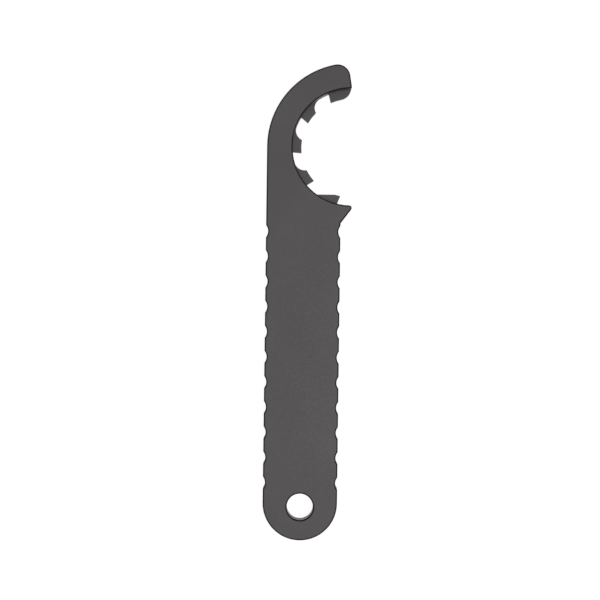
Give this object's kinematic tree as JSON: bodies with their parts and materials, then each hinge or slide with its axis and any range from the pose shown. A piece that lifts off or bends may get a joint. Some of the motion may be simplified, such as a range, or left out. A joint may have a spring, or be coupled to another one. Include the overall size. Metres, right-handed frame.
{
  "type": "hook spanner",
  "caption": "Flat hook spanner for slotted ring nuts: half-round jaw with set-back teeth, scalloped straight handle and a hang hole.",
  "frame": {"origin": "on the axis of the round jaw, in the plane where the two plates meet", "axes": "+X out of the jaw's mouth across the handle, +Y along the handle towards the hook, +Z out of the plain front face"},
  "size_m": [0.0293, 0.1633, 0.005],
  "materials": {
    "coated_steel": "dark grey satin powder coat on steel plate, fine even grain",
    "coated_steel_toothed": "the same dark grey satin powder coat, slightly rubbed on the teeth",
    "black_screw_steel": "black oxide on alloy steel",
    "ground_pin_steel": "ground hardened steel, bare"
  },
  "bodies": {
    "root": {"front_plate": "coated_steel", "toothed_plate": "coated_steel_toothed", "plate_screws": "black_screw_steel", "dowel_pins": "ground_pin_steel"}
  },
  "joints": []
}
